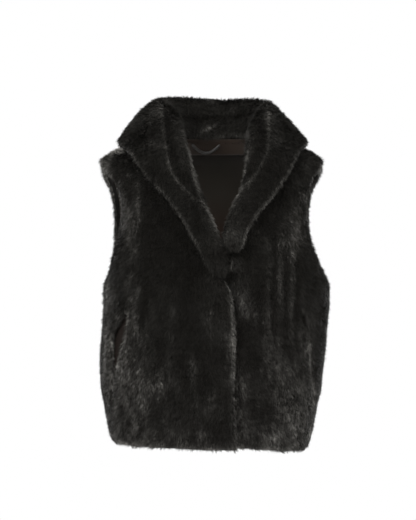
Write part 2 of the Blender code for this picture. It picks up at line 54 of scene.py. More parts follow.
Piece = bpy.types.Object
Material = bpy.types.Material
Array = np.ndarray
Colour = tuple[float, float, float]
Line = tuple[tuple[float, float, float], ...]
Span = tuple[float, float]

TINY = 1e-12
WHITE: Colour = (1.0, 1.0, 1.0)
WELD = 0.02 * MM
QUAD_ANGLE = math.radians(40)
GOLDEN_ANGLE = math.pi * (3 - math.sqrt(5))
BORDER_EASE = 14 * MM
BEND_PASSES = 2
HEART_TOP = -90 * MM
GROOVE_FADE = 4.0


class Side(IntEnum):
    """What a face of a fur panel carries, as the index of its material."""

    PILE = 0
    INSIDE = 1
    SEAM = 2
    UNDER = 3
    TURNED = 4


FURRED = (Side.PILE, Side.TURNED)


class Cut(Enum):
    """Where a fur panel belongs, which says which of its faces carry pile."""

    BODY = "body"
    COLLAR = "collar"


def fill(node: bpy.types.Node, values: dict[str, float | tuple[float, ...]]) -> bpy.types.Node:
    """Set some of a node's inputs.

    Args:
        node: the node.
        values: a value for each of the inputs, by name.

    Returns:
        The same node.
    """
    for name, value in values.items():
        node.inputs[name].default_value = value
    return node


def join(tree: bpy.types.NodeTree, *joins: tuple) -> None:
    """Link nodes: each row is a node, its output, the next node and that node's input."""
    for node, output, following, entry in joins:
        tree.links.new(node.outputs[output], following.inputs[entry])


@dataclass(frozen=True)
class Finish:
    """A cloth's look, the same all over."""

    name: str
    colour: Colour
    roughness: float
    specular: float
    sheen: float = 0.0
    sheen_roughness: float = 0.5
    sheen_tint: Colour = WHITE

    def material(self) -> Material:
        """Make the finish as a material.

        Returns:
            A material with one Principled shader.
        """
        made = bpy.data.materials.new(self.name)
        made.use_nodes = True
        values = {
            "Base Color": (*self.colour, 1.0),
            "Roughness": self.roughness,
            "Specular IOR Level": self.specular,
            "Sheen Weight": self.sheen,
            "Sheen Roughness": self.sheen_roughness,
            "Sheen Tint": (*self.sheen_tint, 1.0),
        }
        fill(made.node_tree.nodes["Principled BSDF"], values)
        return made


@dataclass(frozen=True)
class SatinFinish(Finish):
    """A satin with painted light down it: painted shade at its top, a painted highlight band lower down, then
    browner and darker towards the bottom, with a fine cross grain.
    """

    # Painted shade at the top, below the neck; the finish's own colour is the painted highlight at the lit
    # stops.
    top_shade: Colour = (0.0044, 0.0038, 0.0030)
    low_colour: Colour = (0.0066, 0.0037, 0.0024)
    high: float = -5 * MM
    low: float = -145 * MM
    lit: Span = (0.46, 0.64)
    grain_scale: float = 900.0
    grain_depth: float = 0.06 * MM
    grain_stretch: float = 0.12

    def material(self) -> Material:
        """Make the satin: a colour ramp down the cloth that paints its light and shade, and a bump of long
        fine threads.

        Returns:
            A material that reads Object coordinates.
        """
        made = Finish.material(self)
        nodes = made.node_tree.nodes
        shader = nodes["Principled BSDF"]
        place = nodes.new("ShaderNodeTexCoord")
        split = nodes.new("ShaderNodeSeparateXYZ")
        level = fill(nodes.new("ShaderNodeMapRange"), {"From Min": self.low, "From Max": self.high})
        shade = nodes.new("ShaderNodeValToRGB")
        stops = shade.color_ramp.elements
        stops[0].color = (*self.low_colour, 1.0)
        stops[1].color = (*self.top_shade, 1.0)
        for position in self.lit:
            stops.new(position).color = (*self.colour, 1.0)
        stretch = fill(nodes.new("ShaderNodeMapping"), {"Scale": (1.0, 1.0, self.grain_stretch)})
        grain = fill(nodes.new("ShaderNodeTexNoise"), {"Scale": self.grain_scale})
        bump = fill(nodes.new("ShaderNodeBump"), {"Distance": self.grain_depth})
        join(
            made.node_tree,
            (place, "Object", split, "Vector"),
            (split, "Z", level, "Value"),
            (level, "Result", shade, "Fac"),
            (shade, "Color", shader, "Base Color"),
            (place, "Object", stretch, "Vector"),
            (stretch, "Vector", grain, "Vector"),
            (grain, "Fac", bump, "Height"),
            (bump, "Normal", shader, "Normal"),
        )
        return made


BACKING = Finish("fur_backing", (0.0052, 0.0049, 0.0044), 0.95, 0.02)
# Lit and shaded copies of the one black pile, from the deepest painted shade to the brightest painted
# highlight; each strand's step comes from the light and shade painted where it grows and from random tone.
PILE_LIT_AND_SHADED_TONES = (
    Finish("pile_deep", (0.0049, 0.0045, 0.0038), 0.60, 0.04),
    Finish("pile_dark", (0.0066, 0.0062, 0.0053), 0.60, 0.05),
    Finish("pile_dim", (0.0117, 0.0110, 0.0097), 0.58, 0.06),
    Finish("pile_middle", (0.0213, 0.0202, 0.0180), 0.56, 0.07),
    Finish("pile_light", (0.0415, 0.0397, 0.0360), 0.54, 0.08),
    Finish("pile_highlight", (0.0810, 0.0778, 0.0712), 0.52, 0.10),
    Finish("pile_bright", (0.1270, 0.1218, 0.1115), 0.52, 0.12),
)
# The lining's own colour here is its painted highlight band; the ramp paints shade above it and goes browner
# and darker below.
LINING = SatinFinish("satin_lining", (0.0125, 0.0108, 0.0086), 0.55, 0.05, 0.02, 0.4)
INSIDE = Finish("satin_inside", (0.0050, 0.0043, 0.0036), 0.60, 0.08)
FACING = Finish("satin_facing", (0.0108, 0.0072, 0.0050), 0.45, 0.12, 0.03, 0.4, (0.9, 0.8, 0.7))
LOOP = Finish("satin_loop", (0.0150, 0.0140, 0.0127), 0.45, 0.22, 0.08, 0.3)
# The pocket bags: the lining's brown satin painted much darker, as shade inside the pocket mouths.
POCKET_SATIN_IN_SHADE = Finish("satin_pocket_shaded", (0.0028, 0.0019, 0.0014), 0.70, 0.04)
PALE_FLOOR = Finish("pale_floor", (0.9, 0.9, 0.9), 0.9, 0.0)


@dataclass(frozen=True)
class PaintedLightAndBrushing:
    """A place where painted highlight (tone over 0) or painted shade (tone under 0) falls on the pile, and
    where the pile lies another way or is longer.
    """

    x: float
    z: float
    half_width: float
    half_height: float
    tone: float
    turn: float = 0.0
    lean: float = 0.0
    fluff: float = 0.0

    def weight(self, points: Array) -> Array:
        """How strongly the place is felt at points: from 1 in its middle to 0 well outside."""
        off = (points[:, (0, 2)] / MM - (self.x, self.z)) / (self.half_width, self.half_height)
        return np.exp(-(off**2).sum(1))


def line_weight(points: Array, line: Line, half_width: float) -> Array:
    """How strongly a line on the front is felt at points near it.

    Args:
        points: places on the gilet, in metres.
        line: x, z and strength of each of its points, in millimetres.
        half_width: how far the line is felt, in millimetres.

    Returns:
        From the line's strength on it to 0 well away from it.
    """
    flat = points[:, (0, 2)] / MM
    total = np.zeros(len(points))
    for first, second in zip(line, line[1:]):
        start, way = np.array(first[:2]), np.array(second[:2]) - np.array(first[:2])
        share = np.clip((flat - start) @ way / (way @ way), 0, 1)
        off = np.linalg.norm(flat - start - share[:, None] * way, axis=1)
        strength = first[2] + share * (second[2] - first[2])
        total = np.maximum(total, strength * np.exp(-((off / half_width) ** 2)))
    return total


@dataclass(frozen=True)
class Nudge:
    """A line along which a cloth is moved a little: each point is x, z and strength, all in millimetres."""

    line: Line
    half_width: float
    move: tuple[float, float, float]

    def shift(self, points: Array) -> Array:
        """How far each of the points is moved, in metres."""
        return line_weight(points, self.line, self.half_width)[:, None] * np.array(self.move) * MM


@dataclass(frozen=True)
class Ripple:
    """A soft ridge (height over 0) or trough down a panel, in millimetres."""

    x_top: float
    top: float
    x_bottom: float
    bottom: float
    half_width: float
    height: float


@dataclass(frozen=True)
class GrooveAndPaintedLight:
    """A line on the front of a cloth, sunk as a soft crease by its depth, along which highlight (tone over 0)
    or shade (tone under 0) is painted into the pile: each point is x, z and strength, in millimetres.
    """

    line: Line
    half_width: float
    depth: float
    tone: float

    def weight(self, points: Array, normals: Array) -> Array:
        """How strongly the crease is felt at points near it, fading where their normals turn to the back."""
        faced = np.clip(1 - GROOVE_FADE * normals[:, 1], 0, 1)
        return line_weight(points, self.line, self.half_width) * faced


def rows(kind: type, *values: tuple[float, ...]) -> tuple:
    """One of a kind for each row of values, which follow the order of its fields."""
    return tuple(kind(*row) for row in values)


def ramp(values: Array, start: float, end: float) -> Array:
    """From 0 at the start to 1 at the end, and level beyond both."""
    return np.clip((values - start) / (end - start), 0, 1)


# Painted light and shade of the pile, place by place: tone over 0 paints a highlight, such as on the
# shoulders, and tone under 0 paints shade; turn, lean and fluff brush the pile itself.
RIGHT_LIGHT_AND_BRUSHING = rows(
    PaintedLightAndBrushing,
    (-130, -96, 10, 26, 0.8, 10), (-143, -132, 17, 56, 2.4, 12), (-91, -150, 34, 62, -1.6),
    (-188, -172, 10, 14, 1.0), (-50, -225, 34, 44, -1.0), (26, -236, 10, 8, 1.2),
    (-132, -262, 14, 26, 0.8), (-152, -298, 16, 16, 1.7), (-128, -316, 17, 38, 1.4, 8),
    (-96, -330, 36, 44, -0.2, -14), (-38, -340, 20, 120, -0.9), (31, -342, 9, 28, 1.2),
    (-178, -350, 10, 26, 1.5), (-84, -358, 15, 32, -0.9), (10, -372, 12, 30, -0.9),
    (-34, -386, 7, 24, 1.7), (-150, -410, 30, 76, 1.7, 10), (-98, -421, 13, 10, 1.2, 16),
    (-172, -425, 14, 24, 1.1), (-105, -425, 36, 28, 0.9, 18), (-10, -440, 20, 70, 0.4, 12),
    (-140, -450, 13, 40, 1.1), (-56, -460, 16, 48, -1.6), (-60, -470, 44, 44, 0.5, -12),
    (-104, -488, 14, 30, -1.5), (12, -498, 18, 18, -1.2), (-110, -510, 80, 30, 1.4),
)
LEFT_LIGHT_AND_BRUSHING = rows(
    PaintedLightAndBrushing,
    (104, -85, 30, 60, -1.6), (152, -126, 20, 40, 2.1, -10), (27, -168, 10, 14, 1.0, 0, 0, 0.4),
    (134, -176, 17, 20, 1.7, -8), (38, -210, 12, 18, 1.8), (66, -220, 26, 36, -0.6),
    (158, -228, 22, 48, -0.9), (44, -260, 13, 24, 1.3, -10), (118, -260, 38, 90, 0.2),
    (56, -290, 11, 22, 1.8), (74, -302, 10, 16, 0.9), (162, -330, 24, 120, 0.8, -8),
    (62, -345, 18, 60, -1.3), (172, -358, 16, 20, 0.8), (128, -390, 10, 22, 0.9),
    (100, -398, 11, 38, 1.5), (100, -400, 34, 44, 0.3, 14), (54, -413, 12, 28, 1.6),
    (136, -432, 14, 30, 1.6), (43, -445, 8, 80, 1.2), (63, -454, 12, 20, -1.2), (100, -462, 24, 24, -1.2),
    (48, -478, 9, 24, 1.3), (156, -478, 40, 46, 1.7, -12), (80, -490, 34, 44, 0.5, 10),
    (116, -514, 24, 16, 1.9), (48, -520, 18, 14, 1.2),
)
SIDE_LIGHT_AND_BRUSHING = rows(
    PaintedLightAndBrushing,
    (-160, 0, 14, 12, 4.8, 0, -10, 0.2), (-178, -6, 20, 10, 4.4, 0, -10, 0.1),
    (180, -8, 18, 8, 0.7, 0, -8, 0.1), (-190, -30, 15, 24, 3.2, 10, -8, 0.1),
    (196, -34, 10, 26, 1.2, 0, -8, 0.1), (190, -240, 14, 34, -0.8), (-186, -275, 16, 34, 1.4),
    (190, -338, 12, 40, -0.9), (182, -448, 11, 14, 1.0), (-190, -450, 12, 50, 1.0),
)
BACK_LIGHT_AND_BRUSHING = rows(
    PaintedLightAndBrushing,
    (-175, -60, 24, 30, 1.0), (175, -60, 24, 30, 1.0), (-90, -150, 44, 76, 0.6, 10),
    (20, -220, 38, 96, -0.9), (110, -300, 44, 86, 0.7, -12), (-60, -380, 38, 76, -0.7),
    (-130, -450, 44, 66, 0.9, 8), (60, -470, 66, 56, 0.8, -10), (176, -478, 30, 46, 1.0),
    (-172, -510, 40, 30, 0.6),
)
COLLAR_LIGHT_AND_BRUSHING = rows(
    PaintedLightAndBrushing,
    (-94, 70, 14, 20, 1.7), (97, 54, 10, 16, 1.4, -8), (0, 40, 50, 22, 1.0), (-128, 36, 18, 22, 0.6),
    (107, 6, 12, 12, 1.3, -12), (-99, 4, 13, 11, 1.6, 12), (114, -22, 26, 26, -0.6),
    (-100, -52, 20, 34, -0.7), (60, -62, 9, 18, 1.8), (88, -62, 30, 40, -1.0), (-50, -110, 30, 40, -0.2),
    (70, -128, 14, 28, -0.8), (-24, -130, 12, 40, -0.8), (-44, -146, 13, 24, -0.7),
    (40, -158, 22, 16, 1.3), (40, -186, 24, 9, -2.2), (8, -205, 18, 26, -0.9),
    (17, -234, 20, 12, -3.0, 0, 0, 0.3),
)

# Lines of painted light and shade in the pile: tone over 0 paints a highlight along the line, as on the lips,
# the front edge, the roll crests, the armholes, the pocket mouths and the hem; tone under 0 paints shade, as
# in the roll creases, and darkens the neck seam a little; depth over 0 also sinks a crease, and under 0
# raises it.
RIGHT_ROLL = GrooveAndPaintedLight(
    (
        (-76, 68, 0.8), (-74, 22, 1.0), (-68, -14, 1.0), (-60, -44, 1.0),
        (-42, -70, 0.9), (-24, -90, 0.5), (-6, -112, 0.0),
    ),
    7.5, 3.5, -1.5,
)
LEFT_ROLL = GrooveAndPaintedLight(
    ((84, 61, 0.8), (84, 0, 1.0), (72, -34, 1.0), (60, -56, 0.9), (52, -74, 0.5), (44, -90, 0.0)),
    6.5, 3.5, -1.5,
)
POCKETS: tuple[Line, Line] = (
    ((-151, -294, 1.0), (-158, -333, 1.0), (-168, -368, 1.0), (-176, -396, 1.0), (-181, -424, 1.0)),
    ((164, -324, 1.0), (168, -359, 1.0), (171, -389, 1.0), (176, -412, 1.0), (181, -436, 1.0)),
)
POCKET_EASE = 16
POCKET_CALM = 1.6 * POCKET_EASE
RIGHT_MOUTH = GrooveAndPaintedLight(
    (
        (-146, -290, 0.3), (-149, -300, 0.9), (-154, -333, 1.0),
        (-164, -368, 1.0), (-172, -396, 1.0), (-177, -424, 0.6),
    ),
    4.5, 0, 2.2,
)
FRONT_EDGE = GrooveAndPaintedLight(
    (
        (25, -224, 0.9), (32, -278, 1.0), (37, -334, 1.0), (36, -383, 1.0),
        (38, -433, 1.0), (38, -482, 1.0), (39, -518, 0.9),
    ),
    4.0, 0, 2.1,
)
RIGHT_BAND = GrooveAndPaintedLight(((-188, -322, 0.5), (-188, -345, 1.0), (-189, -380, 1.0), (-192, -412, 0.6)), 3.0, 0, 2.0)
LEFT_MOUTH = GrooveAndPaintedLight(
    ((163, -318, 0.5), (166, -340, 1.0), (170, -375, 1.0), (174, -405, 1.0), (181, -434, 0.8)), 3.2, 0, 1.7
)
RIGHT_ARM = GrooveAndPaintedLight(
    (
        (-181, -50, 0.9), (-175, -82, 1.0), (-169, -104, 1.0),
        (-169, -130, 1.0), (-171, -160, 0.8), (-174, -176, 0.0),
    ),
    3.0, 0, 2.1,
)
LEFT_ARM = GrooveAndPaintedLight(((188, -40, 0.8), (184, -62, 1.0), (177, -90, 0.7), (172, -110, 0.0)), 5.0, 0, 1.0)
RIGHT_LIP = GrooveAndPaintedLight(
    (
        (-58, 30, 0.3), (-51, 12, 0.4), (-43, -11, 0.6), (-38, -28, 1.0), (-36, -47, 1.0),
        (-20, -96, 1.0), (-4, -123, 1.0), (7, -149, 1.0), (13, -166, 0.0),
    ),
    3.4, -0.6, 3.0,
)
LEFT_LIP = GrooveAndPaintedLight(
    (
        (66, 32, 0.5), (66, 12, 0.7), (64, -8, 0.8), (58, -40, 1.0),
        (48, -86, 1.0), (35, -108, 1.0), (25, -127, 1.0), (15, -148, 0.8),
    ),
    3.4, -0.6, 2.6,
)
RIGHT_TUBE = GrooveAndPaintedLight(
    (
        (-87, 70, 0.7), (-85, 25, 0.7), (-79, -13, 0.8), (-71, -44, 1.0),
        (-61, -60, 1.0), (-46, -77, 0.9), (-30, -93, 0.5), (-14, -112, 0.0),
    ),
    3.2, 0, 2.3,
)
LEFT_TUBE = GrooveAndPaintedLight(
    (
        (98, 61, 0.7), (98, -3, 0.7), (90, -24, 0.8), (80, -41, 1.0),
        (70, -57, 1.0), (57, -73, 1.0), (48, -86, 0.8),
    ),
    3.2, 0, 2.3,
)
NECK_TUFT = GrooveAndPaintedLight(((-20, 33, 0.8), (-8, 39, 1.0), (8, 46, 0.6)), 3.5, -0.5, 2.6)
NECK_SEAM = GrooveAndPaintedLight(((-50, 14, 1.0), (55, 14, 1.0)), 8, 0, -0.3)
RIGHT_NECK_ROLL = GrooveAndPaintedLight(((-85, 70, 0.3), (-67, 61, 0.8), (-31, 59, 1.0), (6, 59, 1.0)), 4.5, 2.5, -1.4)
LEFT_NECK_ROLL = GrooveAndPaintedLight(((0, 59, 1.0), (42, 61, 1.0), (79, 65, 0.6), (90, 63, 0.3)), 4.5, 2.5, -1.4)

# Painted highlight along the bottom of the hem.
HEM_EDGE = GrooveAndPaintedLight(
    (
        (-185, -505, 1.0), (-160, -526, 1.0), (-60, -530, 1.5),
        (40, -532, 1.8), (130, -534, 1.2), (185, -508, 1.2),
    ),
    7.0, 0, 1.2,
)
SHOULDER_RISE = (-95, -50)
SHOULDER_REACH = (100, 130)
HEM_RISE = (-430, -520)
HEM_LEVEL = ((-178, 9.0), (-145, 6.0), (-105, 2.5), (0, 2.0), (60, 1.5), (110, -3.0), (160, -3.5))

RIGHT_RIPPLES = rows(
    Ripple,
    (-112, -180, -120, -330, 9, -1.4), (-70, -262, -78, -420, 9, 1.0), (-18, -300, -12, -505, 10, -1.8),
    (-60, -380, -52, -515, 11, 1.5), (-120, -400, -112, -520, 12, 1.4),
)
LEFT_RIPPLES = rows(
    Ripple,
    (141, -110, 138, -370, 4.8, 1.2), (119, -130, 117, -375, 4.5, 1.0), (98, -150, 96, -370, 4.5, 0.8),
    (109, -150, 107, -370, 4.2, -1.8), (130, -150, 128, -365, 4.2, -1.8),
    (151, -160, 148, -360, 4.0, -1.8), (160, -190, 157, -350, 4.5, 0.6), (84, -200, 82, -340, 7, -1.5),
    (118, -380, 112, -515, 9, 1.6), (150, -390, 142, -515, 9, 0.8), (60, -410, 56, -520, 8, 1.5),
)
BACK_RIPPLES = rows(
    Ripple,
    (10, -180, 4, -420, 10, -1.5), (-120, -200, -116, -420, 10, 1.6), (134, -220, 128, -480, 9, -1.6),
    (-60, -230, -64, -500, 11, -1.6), (70, -240, 66, -510, 11, 1.6),
)


@dataclass(frozen=True)
class Field:
    """A smooth random field, about -1 to 1, of one usual length, stretched down the cloth."""

    seed: int
    length: float
    stretch: float = 1.0
    waves: int = 10
    lengths: Span = (0.7, 1.5)
    gain: float = 0.7

    def at(self, points: Array) -> Array:
        """Sum the field's plane waves.

        Args:
            points: places, in metres.

        Returns:
            The field's value at each place.
        """
        random = np.random.default_rng(self.seed)
        total = np.zeros(len(points))
        for _ in range(self.waves):
            way = random.normal(size=3)
            way *= 2 * math.pi / (self.length * random.uniform(*self.lengths)) / np.linalg.norm(way)
            way[2] /= self.stretch
            total += np.sin(points @ way + random.uniform(0, 2 * math.pi))
        return total / math.sqrt(self.waves / 2) * self.gain


def unit(vectors: Array) -> Array:
    """The vectors at length 1."""
    return vectors / np.maximum(np.linalg.norm(vectors, axis=-1, keepdims=True), TINY)


def body_outward(points: Array) -> Array:
    """The way out from the middle of the worn form: level round the body, and rising over the shoulders."""
    heart = np.minimum(points[:, 2:], HEART_TOP) * (0, 0, 1)
    return unit(points - heart)


def new_object(name: str, mesh: bpy.types.Mesh, finishes: list[Material]) -> Piece:
    """Put a mesh in the scene as a piece.

    Args:
        name: the piece's name.
        mesh: its mesh, in place.
        finishes: its materials, in order.

    Returns:
        The new object, at the origin.
    """
    made = bpy.data.objects.new(name, mesh)
    bpy.context.scene.collection.objects.link(made)
    for finish in finishes:
        mesh.materials.append(finish)
    return made


def welded_copy(name: str, node: str, finishes: list[Material]) -> Piece:
    """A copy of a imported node, welded, in quads where it can be.

    Args:
        name: the copy's name.
        node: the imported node.
        finishes: the copy's materials.

    Returns:
        The copy.
    """
    body = bmesh.new()
    body.from_mesh(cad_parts[node].data)
    bmesh.ops.remove_doubles(body, verts=body.verts, dist=WELD)
    bmesh.ops.join_triangles(
        body, faces=body.faces, angle_face_threshold=QUAD_ANGLE, angle_shape_threshold=QUAD_ANGLE
    )
    mesh = bpy.data.meshes.new(name)
    body.to_mesh(mesh)
    body.free()
    return new_object(name, mesh, finishes)


def divide(piece: Piece, levels: int) -> None:
    """Divide and smooth a piece with an applied Subdivision Surface.

    Args:
        piece: the piece.
        levels: how many times each face is divided.
    """
    bpy.ops.object.select_all(action="DESELECT")
    piece.select_set(True)
    bpy.context.view_layer.objects.active = piece
    softened = piece.modifiers.new("soften", "SUBSURF")
    softened.levels = levels
    softened.render_levels = levels
    bpy.ops.object.modifier_apply(modifier=softened.name)
    piece.data.shade_smooth()


def read(items: bpy.types.bpy_prop_collection, field: str, width: int, kind: type = float) -> Array:
    """Read one field of every item of a mesh.

    Args:
        items: the mesh's points, edges, faces or triangles.
        field: the field's name.
        width: how many values it has.
        kind: what they are.

    Returns:
        A row for each item, or one value for each where the width is 1.
    """
    values = np.zeros(len(items) * width, kind)
    items.foreach_get(field, values)
    return values.reshape(-1, width) if width > 1 else values


def move_points(piece: Piece, places: Array) -> None:
    """Put a piece's points at new places."""
    piece.data.vertices.foreach_set("co", places.astype(np.float32).ravel())
    piece.data.update()


def point_tree(points: Array) -> KDTree:
    """Make a search tree over points.

    Args:
        points: their places.

    Returns:
        The tree, which gives their indices.
    """
    tree = KDTree(len(points))
    for index, place in enumerate(points.tolist()):
        tree.insert(place, index)
    tree.balance()
    return tree


def rippled(points: Array, ripples: tuple[Ripple, ...]) -> Array:
    """How far ripples raise a cloth.

    Args:
        points: places on the cloth.
        ripples: its ridges and troughs.

    Returns:
        A height for each place, in metres.
    """
    total = np.zeros(len(points))
    for fold in ripples:
        share = ramp(points[:, 2] / MM, fold.bottom, fold.top)
        middle = fold.x_bottom + share * (fold.x_top - fold.x_bottom)
        across = np.exp(-(((points[:, 0] / MM - middle) / fold.half_width) ** 2))
        total += fold.height * MM * across * np.sin(math.pi * share)
    return total


def hem_shift(points: Array) -> Array:
    """How far each of the points is raised, as the hem hangs a little higher at one side, in metres."""
    level = np.interp(points[:, 0] / MM, *zip(*HEM_LEVEL))
    return level * MM * ramp(points[:, 2] / MM, *HEM_RISE)


@dataclass
class Surface:
    """A shell's points and triangles as arrays, for moving its points and rooting strands on it."""

    points: Array
    normals: Array
    corners: Array
    sides: Array
    bends: Array

    @classmethod
    def of(cls, piece: Piece) -> "Surface":
        """Read a piece.

        Args:
            piece: a finished shell.

        Returns:
            Its arrays, with how sharply it bends outwards at each point.
        """
        mesh = piece.data
        mesh.calc_loop_triangles()
        points = read(mesh.vertices, "co", 3)
        normals = read(mesh.vertices, "normal", 3)
        corners = read(mesh.loop_triangles, "vertices", 3, np.int32)
        faces = read(mesh.loop_triangles, "polygon_index", 1, np.int32)
        slots = read(mesh.polygons, "material_index", 1, np.int32)
        bends = cls.bending(points, normals, read(mesh.edges, "vertices", 2, np.int32))
        return cls(points, normals, corners, slots[faces], bends)

    def facing(self, side: Side) -> Array:
        """Which way the faces of one side look, at each point.

        Args:
            side: what those faces carry.

        Returns:
            A unit vector for each point that they meet at, and zero elsewhere.
        """
        corners = self.corners[self.sides == side]
        a, b, c = (self.points[corners[:, k]] for k in range(3))
        crosses = np.cross(b - a, c - a)
        total = np.zeros_like(self.points)
        for k in range(3):
            np.add.at(total, corners[:, k], crosses)
        return unit(total)

    def border(self) -> Array:
        """The points where the pile side ends at the inside or the underside.

        Returns:
            Their places.
        """
        pile = np.zeros(len(self.points), bool)
        pile[self.corners[np.isin(self.sides, FURRED)].ravel()] = True
        bare = np.zeros(len(self.points), bool)
        bare[self.corners[(self.sides == Side.INSIDE) | (self.sides == Side.UNDER)].ravel()] = True
        found = self.points[pile & bare]
        tree = point_tree(found)
        near = [[index for _, index, _ in tree.find_range(place, BORDER_EASE)] for place in found.tolist()]
        return np.array([found[group].mean(0) for group in near])

    @staticmethod
    def bending(points: Array, normals: Array, edges: Array) -> Array:
        """How sharply a surface bends outwards at each point.

        Args:
            points: its points.
            normals: their normals.
            edges: pairs of points.

        Returns:
            The mean curvature along the edges, eased over the neighbours, in 1/m.
        """
        first, second = edges[:, 0], edges[:, 1]
        along = points[second] - points[first]
        square = np.maximum((along**2).sum(1), TINY)
        bend = ((normals[second] - normals[first]) * along).sum(1) / square
        count = np.bincount(edges.ravel(), minlength=len(points)).clip(1)
        found = np.bincount(first, bend, len(points)) + np.bincount(second, bend, len(points))
        found /= count
        for _ in range(BEND_PASSES):
            near = np.bincount(first, found[second], len(points))
            near += np.bincount(second, found[first], len(points))
            found = (found + near / count) / 2
        return found


def cloth_tree(pieces: list[Piece]) -> BVHTree:
    """One search tree over the faces of several pieces.

    Args:
        pieces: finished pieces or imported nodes.

    Returns:
        The tree.
    """
    points, corners, start = [], [], 0
    for piece in pieces:
        surface = Surface.of(piece)
        points += surface.points.tolist()
        corners += (surface.corners + start).tolist()
        start += len(surface.points)
    return BVHTree.FromPolygons(points, corners)


@dataclass
class Pile:
    """The strands of a fur panel: short, dense, lying down the cloth, in tufts that show where it is lit."""

    density: float = 112e4
    length: float = 7.5 * MM
    lengths: Span = (0.75, 1.15)
    width: float = 0.7 * MM
    widths: Span = (0.7, 1.25)
    twist: float = 0.6
    lean: float = 46.0
    lean_limits: Span = (8.0, 76.0)
    spread: float = 16.0
    stray: float = 8.0
    tuft_share: float = 0.15
    tuft_pull: float = 0.55
    tuft_pulls: Span = (0.2, 1.0)
    tuft_turn: float = 15.0
    tuft_lean: float = 7.0
    tuft_tone: float = 0.65
    swirl: float = 16.0
    swirls: Field = Field(11, 55 * MM, 2.0)
    ruffle: float = 4.0
    ruffles: Field = Field(12, 32 * MM, 1.4)
    ragged: float = 0.22
    rags: Field = Field(16, 11 * MM)
    base_tone: float = 0.6
    tone_noise: float = 0.75
    mottles: tuple[tuple[float, Field], ...] = (
        (0.8, Field(13, 36 * MM, 2.0)),
        (0.6, Field(14, 15 * MM, 1.6)),
        (0.5, Field(15, 7 * MM, 1.5)),
    )
    tone_scatter: float = 0.35
    lively: Span = (-0.4, 1.4)
    least_lively: float = 0.3
    tone_lean: float = 4.0
    tone_lean_steps: float = 2.0
    ripple_light_and_shade: float = 0.8
    # Painted highlight along the free edges of the cloth: its reach, strength, how far behind the surface an
    # edge may lie and where it stops at the top.
    lit_rim: Span = (6.2 * MM, 4.2 * MM)
    lit_rim_tone: float = 1.2
    lit_rim_behind: float = 0.8
    lit_rim_tops: Span = (6 * MM, -2 * MM)
    root_start: float = 0.6 * MM
    # Painted highlight on outward bends and painted shade in hollows.
    lit_bend: Span = (25.0, 100.0)
    lit_tone: float = 0.9
    shade_bend: Span = (4.0, 30.0)
    shade_tone: float = 1.2
    most_strands: int = 190000

    def root(self, surface: Surface, panel: "FurPanel", others: BVHTree) -> tuple[Array, ...]:
        """Choose where strands grow: evenly over the pile side, and not where another cloth lies on it.

        Args:
            surface: the panel's backing.
            panel: the panel, with the distance within which another cloth bars its pile.
            others: every cloth's surface.

        Returns:
            Roots, their normals, and how sharply the backing bends there.
        """
        random = np.random.default_rng(panel.seed)
        corners = surface.corners[np.isin(surface.sides, FURRED)]
        a, b, c = (surface.points[corners[:, k]] for k in range(3))
        areas = np.linalg.norm(np.cross(b - a, c - a), axis=1) / 2
        count = int(areas.sum() * self.density)
        picked = random.choice(len(corners), count, p=areas / areas.sum())
        shares = random.random((count, 2))
        over = shares.sum(1) > 1
        shares[over] = 1 - shares[over]
        weights = np.column_stack((1 - shares.sum(1), shares))
        chosen = corners[picked]
        roots = (surface.points[chosen] * weights[..., None]).sum(1)
        normals = unit((surface.normals[chosen] * weights[..., None]).sum(1))
        bends = (surface.bends[chosen] * weights).sum(1)
        starts = (roots + normals * self.root_start).tolist()
        ways = normals.tolist()
        hits = [others.ray_cast(start, way, panel.clear)[0] for start, way in zip(starts, ways, strict=True)]
        free = np.array([hit is None for hit in hits])
        return roots[free], normals[free], bends[free]

    def nap(self, roots: Array, normals: Array, flare: float) -> Array:
        """The way the pile lies: down the cloth, and outwards where the cloth lies level.

        Args:
            roots: where strands grow.
            normals: the backing's normals there.
            flare: how much it lies outwards.

        Returns:
            A unit vector along the backing for each root.
        """
        pull = np.zeros_like(roots)
        pull[:, :2] = flare * unit(roots[:, :2])
        pull[:, 2] = -1.0
        return unit(pull - normals * (pull * normals).sum(1, keepdims=True))

    def light(self, roots: Array, normals: Array, bends: Array, edges: Array, panel: "FurPanel") -> Array:
        """The light and shade painted into the pile from place to place, with random mottling.

        Args:
            roots: where strands grow.
            normals: the backing's normals there.
            bends: how sharply the backing bends there.
            edges: points along the cloth's free edges.
            panel: the panel, with its painted light and shade and how mottled it is.

        Returns:
            A step on the ladder of tones for each root.
        """
        tone = np.full(len(roots), self.base_tone)
        # Painted highlight and shade, place by place.
        for place in panel.light_and_brushing:
            tone += place.tone * place.weight(roots)
        mottled = sum(share * field.at(roots) for share, field in self.mottles)
        tone += self.tone_noise * panel.mottle * self.liveliness(tone) * mottled
        # Painted highlight along the free edges: within a few millimetres of one, not where it lies well
        # behind, none at the top and none at the pocket mouths.
        tree = point_tree(edges)
        ways = np.array([tree.find(place)[0] for place in roots.tolist()]) - roots
        off = np.linalg.norm(ways, axis=1)
        lit_rim = ramp(off, *self.lit_rim)
        lit_rim *= -(ways * normals).sum(1) < self.lit_rim_behind * off
        lit_rim *= ramp(roots[:, 2], *self.lit_rim_tops)
        for line in POCKETS:
            lit_rim *= 1 - line_weight(roots, line, POCKET_CALM)
        tone += self.lit_rim_tone * lit_rim
        # Painted highlight where the cloth bends outwards, painted shade where it bends inwards.
        tone += self.lit_tone * ramp(bends, *self.lit_bend)
        return tone - self.shade_tone * ramp(-bends, *self.shade_bend)

    def liveliness(self, tone: Array) -> Array:
        """How much the pile's tone varies: little where it is dark, more where it is lit."""
        return np.maximum(ramp(tone, *self.lively), self.least_lively)

